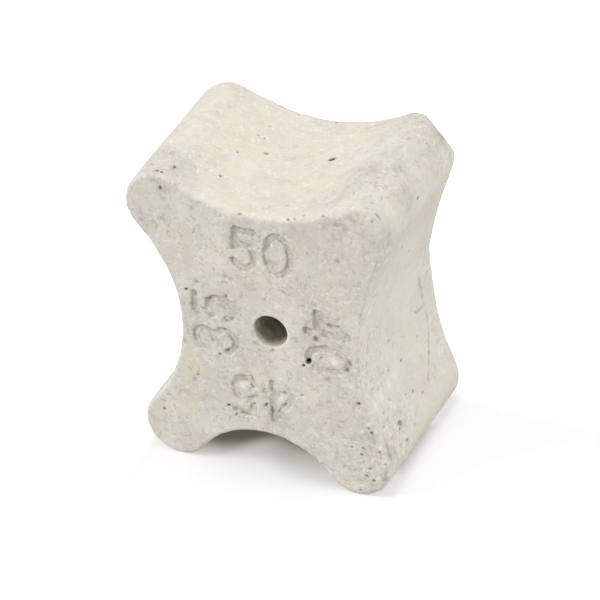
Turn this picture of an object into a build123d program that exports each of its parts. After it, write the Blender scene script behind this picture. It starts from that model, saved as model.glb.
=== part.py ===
from build123d import *
from math import cos, radians, sin
import os

os.makedirs("parts", exist_ok=True)

# Concrete rebar spacer: one cast block with four lobes and a hollow seat between each two of them.
# A reinforcing bar lies in one of the seats, and the lobes opposite stand on the formwork, so
# each seat keeps its own depth of concrete over the bar.
# Origin on the floor, under the middle of the block. +X right, +Y towards the back, +Z up.

# Outline of the back face, mm: the open side of the mould, and so the largest section
back_width = 44.0
back_height = 53.8
lobe_radius = 5.9

# How far each seat sinks in from the lobes either side of it, on the back face
top_seat_depth = 4.1
right_seat_depth = 4.5
bottom_seat_depth = 8.2
left_seat_depth = 8.2

# Front to back, with the draft that lets the block out of the mould
thickness = 29.0
front_share = 0.968

# Tie-wire hole, straight through from front to back
tie_hole_radius = 2.8
tie_hole_x = 2.1
tie_hole_height = 27.75

# Rounding that casting and handling leave on the two outer edges
front_edge_radius = 0.8
back_edge_radius = 1.3
rounding_steps = 3


def seat_centre_distance(half_spacing, lobe_rise, seat_rise, lobe_r):
    """Distance from the middle of the block to the centre of one seat's arc.

    The arc passes through the seat and touches the lobe circles at (+-half_spacing, lobe_rise).
    """
    span = lobe_r - seat_rise
    return (half_spacing**2 + lobe_rise**2 - span**2) / (2 * (span + lobe_rise))


def draw_outline(share, inset):
    """Draws the four-lobed outline, standing on the sketch's X axis and then drawn in by inset."""
    lobe_r = lobe_radius * share - inset
    half_width = back_width * share / 2 - inset
    half_height = back_height * share / 2 - inset
    lobe_x = half_width - lobe_r
    lobe_y = half_height - lobe_r
    middle = Vector(0, half_height + inset)

    # Each side of the block: direction out of the block, half of the lobe spacing,
    # rise of the lobe centres and rise of the seat
    sides = [
        (Vector(0, 1), lobe_x, lobe_y, half_height - top_seat_depth * share),
        (Vector(1, 0), lobe_y, lobe_x, half_width - right_seat_depth * share),
        (Vector(0, -1), lobe_x, lobe_y, half_height - bottom_seat_depth * share),
        (Vector(-1, 0), lobe_y, lobe_x, half_width - left_seat_depth * share),
    ]
    seats = [middle + out * seat_rise for out, _, _, seat_rise in sides]
    arc_centres = [
        middle + out * seat_centre_distance(half_spacing, lobe_rise, seat_rise, lobe_r)
        for out, half_spacing, lobe_rise, seat_rise in sides
    ]
    # Lobes in the same clockwise order: each lies between its own side and the next
    corner_signs = [(1, 1), (1, -1), (-1, -1), (-1, 1)]
    lobes = [middle + Vector(sx * lobe_x, sy * lobe_y) for sx, sy in corner_signs]

    def touch(lobe, arc_centre):
        return lobe + (arc_centre - lobe).normalized() * lobe_r

    for side in range(len(sides)):
        lobe_before = lobes[side - 1]
        lobe_after = lobes[side]
        next_side = (side + 1) % len(sides)
        seat_start = touch(lobe_before, arc_centres[side])
        seat_end = touch(lobe_after, arc_centres[side])
        lobe_end = touch(lobe_after, arc_centres[next_side])
        lobe_tip = lobe_after + (lobe_after - middle).normalized() * lobe_r
        ThreePointArc(seat_start, seats[side], seat_end)
        ThreePointArc(seat_end, lobe_tip, lobe_end)


def rounded_edge(radius):
    """Steps of a rounded edge, from the face to the wall: depth below the face, and inset."""
    turns = [radians(90 * step / rounding_steps) for step in range(rounding_steps + 1)]
    return [(radius * (1 - cos(turn)), radius * (1 - sin(turn))) for turn in turns]


# Sections of the cast body as (depth behind the front face, inset). Between the two rounded
# edges the wall runs straight, and its draft makes each section a little larger than the last.
front_steps = rounded_edge(front_edge_radius)
back_steps = [(thickness - depth, inset) for depth, inset in rounded_edge(back_edge_radius)]
sections = front_steps + back_steps[::-1]

# Local Z of the sketch planes runs towards the front, along -Y
front_plane = Plane.XZ.offset(thickness / 2)

with BuildPart() as spacer_block:
    # All sections stand on the floor line, so the block stands level
    for depth, inset in sections:
        with BuildSketch(front_plane.offset(-depth)):
            with BuildLine():
                draw_outline(front_share + (1 - front_share) * depth / thickness, inset)
            make_face()
    loft(ruled=True)

    # Hole for the wire that ties the block to the bar
    with BuildSketch(front_plane):
        with Locations((tie_hole_x, tie_hole_height)):
            Circle(tie_hole_radius)
    extrude(amount=-thickness, mode=Mode.SUBTRACT)

spacer_block.part.label = "spacer_block"
export_step(spacer_block.part, "parts/spacer_block.step")
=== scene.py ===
"""Concrete rebar spacer: dresses the cast block with its numbers, pits and chips, and sets its studio."""

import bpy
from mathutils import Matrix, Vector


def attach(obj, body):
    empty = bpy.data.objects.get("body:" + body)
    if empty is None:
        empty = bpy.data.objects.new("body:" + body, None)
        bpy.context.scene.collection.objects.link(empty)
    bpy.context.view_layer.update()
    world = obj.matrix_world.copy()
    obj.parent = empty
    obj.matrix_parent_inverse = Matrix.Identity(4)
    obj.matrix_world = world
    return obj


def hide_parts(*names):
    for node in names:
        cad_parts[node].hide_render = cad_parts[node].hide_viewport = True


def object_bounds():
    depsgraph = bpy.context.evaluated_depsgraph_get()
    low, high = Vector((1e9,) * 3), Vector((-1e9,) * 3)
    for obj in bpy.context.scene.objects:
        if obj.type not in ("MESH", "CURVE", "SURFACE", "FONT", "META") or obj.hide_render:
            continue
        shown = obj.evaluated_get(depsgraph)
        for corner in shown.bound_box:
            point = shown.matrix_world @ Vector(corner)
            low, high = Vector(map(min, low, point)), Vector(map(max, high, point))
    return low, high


bl_info = {
    "name": "Concrete Rebar Spacer",
    "version": (1, 0, 0),
    "blender": (4, 5, 0),
    "location": "3D View > Sidebar > Spacer",
    "description": "Dresses the cast block of a concrete rebar spacer and sets its studio",
    "category": "Mesh",
}

from collections import namedtuple
from math import atan2, cos, pi, radians, sin, tau

import bmesh
import bpy
import numpy as np
from mathutils import Matrix, Vector, noise
from mathutils.geometry import delaunay_2d_cdt

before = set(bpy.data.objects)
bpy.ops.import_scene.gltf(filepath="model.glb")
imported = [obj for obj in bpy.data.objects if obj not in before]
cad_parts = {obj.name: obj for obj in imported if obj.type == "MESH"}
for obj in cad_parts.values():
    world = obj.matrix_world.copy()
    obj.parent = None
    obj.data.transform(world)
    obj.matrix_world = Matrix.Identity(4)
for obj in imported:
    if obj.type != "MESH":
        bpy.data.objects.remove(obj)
cad_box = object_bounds()

MM = 0.001

# Lengths in the code are in mm. Digits and marks of a side lie beyond these, and so on that side only.
DIGITS_Y = -12.5
FRONT_Y = -13.4
TOP_Z = 44.0
RIGHT_X = 14.0

# How far round their strokes the digits are worked out, and a distance beyond any real one
NEAR_DIGITS = 2.0
FAR = 1e9

# Rounding of the hole's rims, points round it, and what counts as one point when patches are joined
RIM = 0.25
HOLE_SIDES = 48
WELD_GAP = 0.004

# Unevenness of breaks and of the hole's wall, and depth of the seam line
CRUMBS = 0.14
BORE_WAVES = 0.32
SEAM_DEPTH = 0.18

# Height of a triangle in the mesh as a share of its side
ROW_SHARE = 0.866

# What the camera looks at: its height above the floor, then shifts to the right and up in the picture
AIM_HEIGHT = 26.8
AIM_RIGHT = 0.5248
AIM_UP = -2.157

# Cover numbers in the front face: digits, place of their middle, how far they are turned in degrees,
# and how far apart the digits stand
Number = namedtuple("Number", "digits x z turn spacing")
NUMBERS = [
    Number("50", 1.13, 41.80, 0, 5.85),
    Number("35", -7.45, 27.10, 90, 6.00),
    Number("40", 11.70, 27.60, -90, 6.00),
    Number("45", 0.08, 14.50, 180, 5.95),
]

# A place on the surface: its middle, how far it reaches, and how strong it is in the middle
Place = namedtuple("Place", "point reach amount")

# The plane of the front face
FACE_Y = -14.5


def places(*rows):
    """Places from rows of x, y, z, reach and amount, or without y for a place in the front face."""
    full = [row if len(row) == 5 else (row[0], FACE_Y, *row[1:]) for row in rows]
    return [Place(row[:3], *row[3:]) for row in full]


# Mortar left in the digits, as the share of their depth that it fills
FILLS = places(
    (12.9, 31.9, 1.7, 0.95), (13.9, 30.1, 1.4, 1), (13.8, 23.6, 1.6, 0.85), (11.5, 22.2, 2.2, 0.6),
    (12, 27, 1.8, 0.7), (10.2, 29, 1, 0.8), (13.5, 29.6, 2, 1), (4.6, 16.2, 1.7, 1),
    (4.9, 15, 1.5, 0.9), (3.5, 13.2, 1, 0.7), (5.2, 13.5, 1.2, 0.6), (0.6, 14.2, 1.6, 0.8),
    (-8.8, 28.8, 1.3, 0.8), (-4.7, 29.5, 1.2, 0.6), (-5.2, 22.6, 1.3, 0.6), (-8.6, 22.2, 1.5, 0.6),
    (-1.6, 38.9, 1.6, 0.55), (3.6, 38.6, 1.2, 0.5),
)

# Places where the surface sinks, or swells where the depth is below 0
DENTS = places(
    (19.5, 8, 40.5, 6, -0.38), (17.3, 14.2, 30, 4, 0.38), (-22, -9, 48.5, 9, -0.16),
    (-15.5, 14.5, 53.5, 4.5, 0.16), (21.4, -13, 46.5, 2.6, 0.4), (15.5, 48.8, 2.2, 0.35),
    (17.5, -10, 52.2, 2.5, -0.15), (20.6, -11.5, 9, 2.5, 0.3), (18.2, -6, 16.5, 1.6, -0.12),
    (18.2, -10, 16.3, 1.9, -0.14), (12.5, 24.8, 0.6, -0.28), (-13, -9.5, 51.7, 2, 0.12),
    (15.5, -2, 53, 2.2, 0.14), (21, -4, 49, 2.8, 0.16), (21.8, 13.5, 47.8, 3, 0.4),
    (16.9, -14.6, 51, 1.3, 0.42), (15.4, -2.6, 52.8, 1, 0.14), (17.9, 10.5, 53.2, 1.4, 0.2),
)

# Rougher places, where the skin is thin
ROUGH_PLACES = places(
    (15, -13.5, 47.5, 7, 0.6), (18, -4, 52, 7, 0.35), (19, 7, 51, 7, 0.35), (19, 13.5, 51, 5, 1),
    (18, -13.5, 36, 7, 0.6), (17, -14, 22, 8, 0.7), (17.5, -12, 27, 4.5, 0.6),
    (18, -10.5, 19.5, 4.2, 0.8), (20.5, -13, 44, 3.5, 0.8), (18.5, -13, 38.5, 3.5, 0.7),
    (9.5, 9, 5, 0.6), (17, -14, 6, 8.5, 1), (19.5, -9, 9.5, 7, 0.8), (-18, -14, 50.5, 5, 0.3),
    (-14.5, -11.5, 52, 3.5, 0.5), (-17, -14, 4.5, 6, 0.6), (17.5, 13.5, 29, 5, 0.8),
    (19, 10, 12, 7, 0.4), (0, 13, 6.5, 0.5), (-9, 28, 6.5, 0.5),
)

# Grey-green stains, and painted shade under the lip and on the facets of the top right lobe
STAINS_AND_SHADE = places(
    (21, -4, 48.9, 2.2, 0.5), (20.9, -12, 47.2, 2.1, 0.6), (11.3, 21.6, 1.1, 0.35),
    (16.4, -14.3, 50.3, 1.2, 0.4), (17.1, -14.1, 51.1, 1.9, 0.75), (20.3, 11.9, 51.6, 1.6, 0.7),
    (19, 14, 51, 3, 0.2), (15.4, -2.6, 52.7, 0.9, 0.4), (15.3, 13.2, 53.7, 1.6, 0.35),
    (-6, 30.6, 1.4, 0.4), (-5.9, 28, 0.5, 0.6), (0.3, 13.5, 1.6, 0.35), (9.9, 31.9, 1.1, 0.6),
    (12.2, 31.2, 0.8, 0.6), (8, 29.4, 0.9, 0.6), (18.8, -13.3, 50.4, 1.3, 0.6),
    (15, -2.4, 52.7, 1.7, 0.5), (15.5, 2.1, 53, 1.4, 0.45), (18, -0.7, 52.4, 1.5, 0.5),
    (14, -14, 48.6, 2.2, 0.35), (-13.1, -9.6, 51.7, 1.5, 0.2), (-10.4, -13.4, 50.2, 1.2, 0.2),
    (-16.2, -13.9, 52, 0.9, 0.6), (-14.8, -14.4, 50.1, 0.9, 0.5), (-14.1, -11.6, 52, 0.7, 0.6),
    (20.7, -12.3, 8.1, 1.6, 0.65), (20, -7, 10.3, 1.8, 0.45), (18.4, -14.3, 12.8, 2.2, 0.35),
    (18.6, 12.9, 52.2, 1.8, 0.5), (-4, 31.5, 1.5, 0.25), (17.4, -13, 51.9, 2.8, 0.28),
    (21.3, 6.6, 50.1, 3, 0.1), (21.5, 6.6, 7.7, 3.5, 0.08), (-11, 29, 2.2, 0.3), (11, 30.5, 2.2, 0.35),
    (-1, 46, 3, 0.2), (2, 11, 2, 0.35),
)

# Pale scuffs and specks of lime, and painted highlights along the ridge of the bottom right lobe
# and on the lip at the top right front corner
SCUFFS_AND_HIGHLIGHTS = places(
    (18.2, -4.2, 16.7, 0.9, 0.5), (18.2, -6.8, 16.5, 1.2, 0.6), (18.1, -9.4, 16.5, 1.4, 0.6),
    (18.1, -12.2, 16, 1.5, 0.5), (-12.4, 31.5, 3, 0.3), (15.4, -13.3, 52.1, 0.6, 0.55),
    (16.2, -13.2, 52.1, 0.6, 0.85), (17, -13.1, 52, 0.35, 0.6), (18.4, -14.3, 16.5, 1, 0.5),
    (17.9, -9.1, 51.9, 2.8, 0.12), (12.5, 24.8, 0.8, 1.4), (-3.2, 16.4, 0.8, 1), (0.8, 40.1, 0.5, 0.8),
    (4.9, 27, 0.6, 0.6), (-5.4, -3.1, 49.3, 1.2, 0.5), (-17, -13.8, 1.5, 1.8, 0.4),
    (-14.5, 3, 53.5, 5, 0.35), (15.5, -12.5, 52.3, 2, 0.1), (12.5, 3, 51.9, 4.5, 0.42),
    (18, 4.4, 34, 5, 0.15), (18.2, -14.3, 14.4, 0.5, 1), (19.1, -13.8, 12.9, 0.45, 1),
    (16.9, 12.6, 0.45, 0.95), (15.7, -14.3, 1.5, 0.45, 1), (16.4, -14.4, 2, 0.45, 1),
    (20.5, -14.3, 7.8, 0.45, 1), (15.5, 20.7, 0.5, 0.9), (19.7, -14.1, 10, 0.45, 1),
)

# Rosy, yellowish and grey-green patches
BLUSHES = places(
    (9, 46, 4, 0.9), (15.2, 45.3, 3.5, 0.9), (12, 25.5, 3.2, 1), (18.5, -9.5, 27, 3, 0.7),
    (17.3, -4, 23, 0.6, 1), (-2, 35.5, 3, 0.6), (21, 5.7, 49.4, 3, 0.7), (19, 10.8, 52.9, 1.4, 1),
    (19.9, 6, 40.5, 3, 0.7), (-20, -12, 47, 3, 0.7), (-14.5, -12.5, 51.8, 2.5, 0.9),
    (20.3, 1.9, 10.4, 0.7, 1),
)
BUFFS = places((-10.6, 2.2, 51.1, 4, 1), (-6.5, -0.5, 49.7, 2.6, 0.7))
GREYS = places((15.6, 15.4, 3.2, 0.8), (-12.2, 28.5, 1.6, 0.9))

# Larger air holes and dents, by the side they are on. across and along are x and z on the front,
# x and y on top, and z and y on the right. dark is how much the pit is darkened by dirt and painted shade,
# and over 1 it fills the hole.
Pit = namedtuple("Pit", "side across along width length depth dark turn", defaults=[0])


def pits(side, *rows):
    """Pits of one side from rows of across, along, width, length, depth, dark and turn in degrees."""
    return [Pit(side, *row) for row in rows]


PITS = pits(
    "front",
    (8.2, 23.6, 0.95, 1.15, 0.75, 1, -10), (7.45, 22.7, 0.6, 0.62, 0.45, 0.9),
    (-6, 11.9, 0.7, 0.55, 0.45, 0.9, 10), (-12, 32.35, 0.7, 0.5, 0.4, 0.8, 10),
    (-15, 49.9, 0.6, 1, 0.35, 0.65), (6, 48.6, 0.5, 0.4, 0.25, 0.6), (7.1, 48.9, 0.4, 0.3, 0.2, 0.5),
    (18.5, 12.7, 0.6, 0.55, 0.3, 0.75), (-5, 49, 0.6, 0.5, 0.25, 0.3),
    (16.5, 17.8, 0.6, 0.6, 0.35, 0.9), (16.7, 8.1, 0.6, 0.6, 0.35, 0.8),
    (-17.7, 8.2, 0.6, 0.6, 0.35, 0.5), (-11, 16.5, 0.6, 0.6, 0.2, 0.2),
    (-5.15, 32.65, 0.6, 0.7, 0.3, 0.4), (-5.9, 26.35, 0.6, 0.55, 0.35, 0.6, 30),
    (0.6, 13.6, 0.45, 1.1, 0.35, 0.6, -32), (3.9, 14.4, 0.35, 1.1, 0.2, 0.35, -35),
    (1.65, 16.9, 0.4, 1.8, 0.12, 0.35), (1.45, 12.6, 0.4, 2.2, 0.12, 0.35),
    (7, 17, 0.9, 0.4, 0.2, 0.35, 20), (-1.55, 13.1, 0.45, 0.65, 0.3, 0.5, -30),
    (-5.5, 22.5, 0.5, 0.9, 0.35, 0.5, -15), (-6.9, 21.45, 0.55, 0.55, 0.3, 0.4),
    (-4.8, 10.4, 0.3, 0.9, 0.35, 0.7, -30), (-5.8, 22.3, 0.8, 0.5, 0.2, 0.35, 20),
    (-8.4, 31.4, 1.1, 0.6, 0.15, 0.45, 30), (-1.5, 18.3, 0.4, 1.5, 0.2, 0.45, 20),
    (12.1, 31.2, 1.1, 0.7, 0.15, 0.3, -15), (13.6, 31.3, 0.5, 0.9, 0.15, 0.3, -40),
    (15.2, 24.9, 0.45, 1.3, 0.2, 0.4, 25), (14.8, 23.5, 0.6, 0.4, 0.15, 0.4, -20),
    (10.5, 24.9, 0.6, 0.35, 0.2, 0.4, 20), (-2, 47.9, 0.9, 0.35, 0.2, 0.5, 10),
    (11.9, 50.4, 0.6, 0.4, 0.2, 0.4, 20), (15.1, 9.2, 0.5, 0.45, 0.2, 0.55, 20),
    (17.1, 9.4, 0.8, 0.4, 0.2, 0.45, -15), (17.9, 19.5, 0.5, 0.9, 0.2, 0.5, 20),
    (18.1, 13.5, 0.5, 0.4, 0.3, 0.5), (13.7, 13.6, 0.8, 0.4, 0.15, 0.28, 10),
    (18.1, 5.7, 0.5, 0.45, 0.25, 0.5), (17.4, 4.1, 0.6, 0.6, 0.25, 0.38, 20),
    (18.6, 3.5, 0.6, 0.6, 0.3, 0.6), (16.2, 1, 0.9, 0.4, 0.2, 0.45), (19.8, 9.3, 0.35, 0.4, 0.2, 0.4),
    (20.6, 7.2, 0.35, 0.5, 0.2, 0.35), (14.9, 17.5, 0.6, 0.6, 0.15, 0.22),
) + pits(
    "top",
    (8.4, -13.6, 0.5, 0.45, 0.25, 0.6), (5.85, 2.8, 1.3, 1, 1.2, 2.5, 40),
    (-8.4, -0.9, 0.5, 0.5, 0.25, 0.5), (-4.7, 1.5, 0.9, 0.8, 0.25, 0.55),
    (-6.45, 4.8, 0.45, 0.45, 0.25, 0.6), (-7.6, 4.9, 0.35, 0.35, 0.2, 0.4), (-7, 8, 0.4, 0.4, 0.2, 0.4),
    (-8.15, -7.7, 0.6, 0.8, 0.25, 0.5, 30), (-15.1, -13.4, 0.6, 0.6, 0.3, 0.8),
    (-15.9, -13.3, 0.5, 0.7, 0.3, 0.8, 30), (-14, -11.2, 0.45, 0.9, 0.25, 0.6, 20),
    (-4.5, 13.3, 0.6, 0.35, 0.15, 0.5), (2, 13.5, 0.8, 0.35, 0.15, 0.5),
) + pits(
    "right",
    (50.6, -11.9, 1, 0.36, 0.35, 0.6, 10), (50.6, -13.4, 0.45, 0.36, 0.3, 0.6),
    (48, -1, 0.5, 0.9, 0.35, 0.6), (39.4, -2.2, 0.35, 1.4, 0.25, 0.4, 30),
    (35.8, 2.3, 0.4, 1, 0.25, 0.4, 20), (26.9, 8.5, 0.5, 0.9, 0.25, 0.3),
    (23, -4, 0.5, 1.1, 0.2, 0.35, 30), (22.8, -7.2, 0.4, 0.8, 0.3, 0.35),
    (20.5, 1.2, 0.3, 0.9, 0.2, 0.3, 20), (19.2, -7.2, 0.45, 0.8, 0.3, 0.4),
    (18.7, -5.6, 0.45, 0.8, 0.3, 0.4), (18, 5.6, 0.3, 0.9, 0.2, 0.3, 20), (17.6, -1, 0.55, 1, 0.4, 0.8),
    (12.5, -2.7, 0.35, 0.9, 0.25, 0.3), (11.7, -0.5, 0.45, 0.9, 0.35, 0.7),
    (10.1, 1.9, 0.45, 0.8, 0.3, 0.5), (10.1, -7, 0.8, 1.3, 0.3, 0.5, 20),
    (9.4, -7.6, 0.45, 0.9, 0.25, 0.5, -20), (7, -6.9, 0.45, 0.8, 0.3, 0.9),
    (7.6, -12.7, 2, 0.6, 0.2, 0.25, 8), (4.7, -9.3, 0.5, 0.9, 0.3, 0.4),
    (12, -11.3, 0.4, 0.6, 0.25, 0.4), (5.1, -8.9, 0.4, 0.6, 0.25, 0.4),
    (18.9, -11.6, 0.6, 1.2, 0.15, 0.22, 20), (13.8, -10.2, 0.45, 0.8, 0.2, 0.28),
    (14.2, -7.1, 0.35, 0.6, 0.2, 0.4),
)

# How much wider wear has made the front and back edges of each seat and lobe, in order round the block
WORN_EDGES = {
    "bottom seat": (0, 0), "bottom left": (0.1, 0.3), "left seat": (0, 0), "top left": (0, 0.9),
    "top seat": (0.3, 0), "top right": (0.9, 0), "right seat": (-0.25, 0), "bottom right": (0.2, 0.4),
}

# Corners broken off along a rough plane: a point of the plane, its direction, and how far it reaches
Chip = namedtuple("Chip", "point normal reach")
CHIPS = [
    Chip((18.95, 14.30, 50.90), (0.618, 0.554, 0.558), 6.5),
    Chip((20.3, -13.0, 50.6), (0.55, -0.60, 0.55), 3.5),
]

# Lines left by the mould's seam on the right side, as z and y: the long one, and a fainter branch
SEAM_LINE = np.array([
    (28.3, 8.2), (26.9, 8.8), (25.2, 9.2), (23.4, 9.5), (21.9, 9.5), (20.9, 10.1), (20.0, 9.9),
    (18.6, 10.1), (17.6, 9.8), (16.7, 9.3), (14.9, 8.5), (13.5, 7.4), (12.4, 6.5), (11.2, 5.4), (10.5, 4.5),
])
SEAM_BRANCH = np.array([(22.4, 4.8), (21.5, 7.4), (21.2, 9.9)])
BRANCH_FAINTER = 0.07


def linear(code):
    """An sRGB hex colour as the linear values that Blender works in."""
    parts = [int(code[i:i + 2], 16) / 255 for i in (0, 2, 4)]
    return tuple(c / 12.92 if c <= 0.04045 else ((c + 0.055) / 1.055) ** 2.4 for c in parts)


def add_node(tree, kind, inputs=None, **settings):
    """Adds a node with its settings. Each input gets a value, a socket or a node's first output."""
    node = tree.nodes.new(kind)
    for key, value in settings.items():
        setattr(node, key, value)
    for key, value in (inputs or {}).items():
        if isinstance(value, bpy.types.Node):
            value = value.outputs[0]
        if isinstance(value, bpy.types.NodeSocket):
            tree.links.new(value, node.inputs[key])
        else:
            node.inputs[key].default_value = value
    return node


def add_maths(tree, operation, *values, **settings):
    """Adds a math node that works on numbers, sockets or nodes."""
    return add_node(tree, "ShaderNodeMath", dict(enumerate(values)), operation=operation, **settings)


def add_ramp(tree, source, begin, end, low=0.0, high=1.0, kind="LINEAR"):
    """Adds a node that goes from low to high while the source goes from begin to end."""
    inputs = {0: source, 1: begin, 2: end, 3: low, 4: high}
    return add_node(tree, "ShaderNodeMapRange", inputs, interpolation_type=kind)


def new_tree(data):
    """Empties the node tree of a new material or world."""
    data.use_nodes = True
    data.node_tree.nodes.clear()
    return data.node_tree


def smooth_step(low, high, value):
    """Rises smoothly from 0 at low to 1 at high."""
    t = np.clip((value - low) / (high - low), 0, 1)
    return t * t * (3 - 2 * t)


def noise_field(points, grain, seed, octaves=1):
    """Smooth noise from about -1 to 1 at each point, with bumps about grain mm across."""
    shift = Vector((17.3 * seed, 5.1 * seed, 9.7 * seed))
    if octaves == 1:
        return np.array([noise.noise(Vector(p) / grain + shift) for p in points])
    return np.array([noise.fractal(Vector(p) / grain + shift, 0.8, 2.0, octaves) for p in points])


def setting_kind(kind, convert=float, **fixed):
    """A function that makes settings of one kind, each from its name, description and value."""

    def make(name, description, value, **more):
        return kind(name=name, description=description, default=convert(value), **fixed, **more)

    return make


Amount = setting_kind(bpy.props.FloatProperty)
Count = setting_kind(bpy.props.IntProperty, int)
Length = setting_kind(
    bpy.props.FloatProperty, lambda mm: mm * MM, subtype="DISTANCE", unit="LENGTH", precision=5)
Angle = setting_kind(bpy.props.FloatProperty, radians, subtype="ANGLE", unit="ROTATION")
Colour = setting_kind(bpy.props.FloatVectorProperty, linear, subtype="COLOR", size=3, min=0, max=1)


class SpacerShape(bpy.types.PropertyGroup):
    """Sizes of the cast block"""

    back_width: Length("Back Width", "Width over the lobes on the back face", 44.0)
    back_height: Length("Back Height", "Height over the lobes on the back face", 53.8)
    lobe_radius: Length("Lobe Radius", "Radius of the four lobes on the back face", 5.9)
    top_seat: Length("Top Seat Depth", "How far the top seat sinks below its lobes", 4.1)
    right_seat: Length("Right Seat Depth", "How far the right seat sinks below its lobes", 4.5)
    bottom_seat: Length("Bottom Seat Depth", "How far the bottom seat sinks below its lobes", 8.2)
    left_seat: Length("Left Seat Depth", "How far the left seat sinks below its lobes", 8.2)
    thickness: Length("Thickness", "Front to back", 29.0)
    front_share: Amount(
        "Front Share", "Size of the front outline as a share of the back one", 0.968,
        subtype="FACTOR", min=0.8, max=1.0)
    front_edge: Length("Front Edge Radius", "Rounding of the front edge", 0.6)
    back_edge: Length("Back Edge Radius", "Rounding of the back edge", 0.8)
    hole_radius: Length("Tie Hole Radius", "Radius of the tie-wire hole", 2.8)
    hole_x: Length("Tie Hole X", "Place of the hole, right of the middle", 2.1)
    hole_height: Length("Tie Hole Height", "Height of the hole above the floor", 27.75)


class SpacerSurface(bpy.types.PropertyGroup):
    """Numbers and wear of the cast surface"""

    stroke: Length("Stroke Width", "Width of the digits' strokes", 1.15)
    number_depth: Length("Number Depth", "How deep the digits are sunk", 0.47)
    unevenness: Length("Unevenness", "Height of the slow waves in the cast surface", 0.10)
    coarse: Length("Mesh Size", "Distance between points on plain surface", 0.40)
    fine: Length("Fine Mesh Size", "Distance between points at digits, pits and breaks", 0.16)
    pinholes: Count("Pinholes", "Small air holes in each square centimetre", 2, min=0)
    seed: Count("Seed", "Changes where the pinholes lie and their sizes", 4)


class SpacerColours(bpy.types.PropertyGroup):
    """Colours of the concrete"""

    cream: Colour("Cement Skin", "Pale, warm skin of cement", "EBE3D6")
    grey: Colour("Grey Cement", "Greyer, greener patches of the skin", "D9D9CE")
    rosy: Colour("Rosy Patches", "Faint pinkish patches", "DDCBC4")
    buff: Colour("Buff Patches", "Faint yellowish patches", "E6DFC6")
    # The broken-concrete colour also paints highlights, with the scuffs
    sand_and_highlight: Colour("Broken Concrete", "Fresh break and sand", "F5F1E9")
    # The lime colour also paints highlights where the scuffs are strongest
    lime_and_highlight: Colour("Lime", "White specks of lime", "FBF9F0")
    grit: Colour("Dark Grit", "Darker sand grains where the skin is thin", "8E8977")
    # The stain colour also paints shade on the digits' floors and round the top right lobe
    stain_and_shade: Colour("Stain", "Grey-green dust in digits and hollows", "8B8A78")
    # The hole wall's colour is its own olive tone, partly painted shade inside the tie hole
    bore: Colour("Hole Wall", "Olive wall of the tie hole", "958F6A")
    # The dirt colour also paints shade in the air holes, the seam, the digits' grooves and the tie hole
    dirt_and_shade: Colour("Dirt", "What has settled in the air holes and the tie hole", "3A3320")


class SpacerStudio(bpy.types.PropertyGroup):
    """Camera, lamps and floor"""

    yaw: Angle("Camera Yaw", "How far the camera stands round to the right", 25.7464)
    pitch: Angle("Camera Pitch", "How far the camera looks down", 33.1035)
    roll: Angle("Camera Roll", "How far the camera leans", -2.9946)
    distance: Length("Camera Distance", "From the camera to the middle of the block", 392.4776)
    lens: Amount("Lens", "Focal length in mm on a 36 mm sensor", 148.721)
    key_strength: Amount("Key Light", "Strength of the lamp above on the left", 1.53)
    fill_strength: Amount("Fill Light", "Strength of the lamp behind on the right", 1.50)
    sky_strength: Amount("Room Light", "Strength of the light from all round", 0.50)
    floor_colour: Colour("Floor", "White studio floor", "CECECE")
    # The floor under the block is painted with the warmth of bounce light off the concrete
    painted_bounce_floor: Colour("Floor Under The Block", "Warmed by light off the concrete", "D4CFC0")


def direction(ray):
    """The angle of a ray in the plane of the outline."""
    return atan2(ray[1], ray[0])


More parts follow.
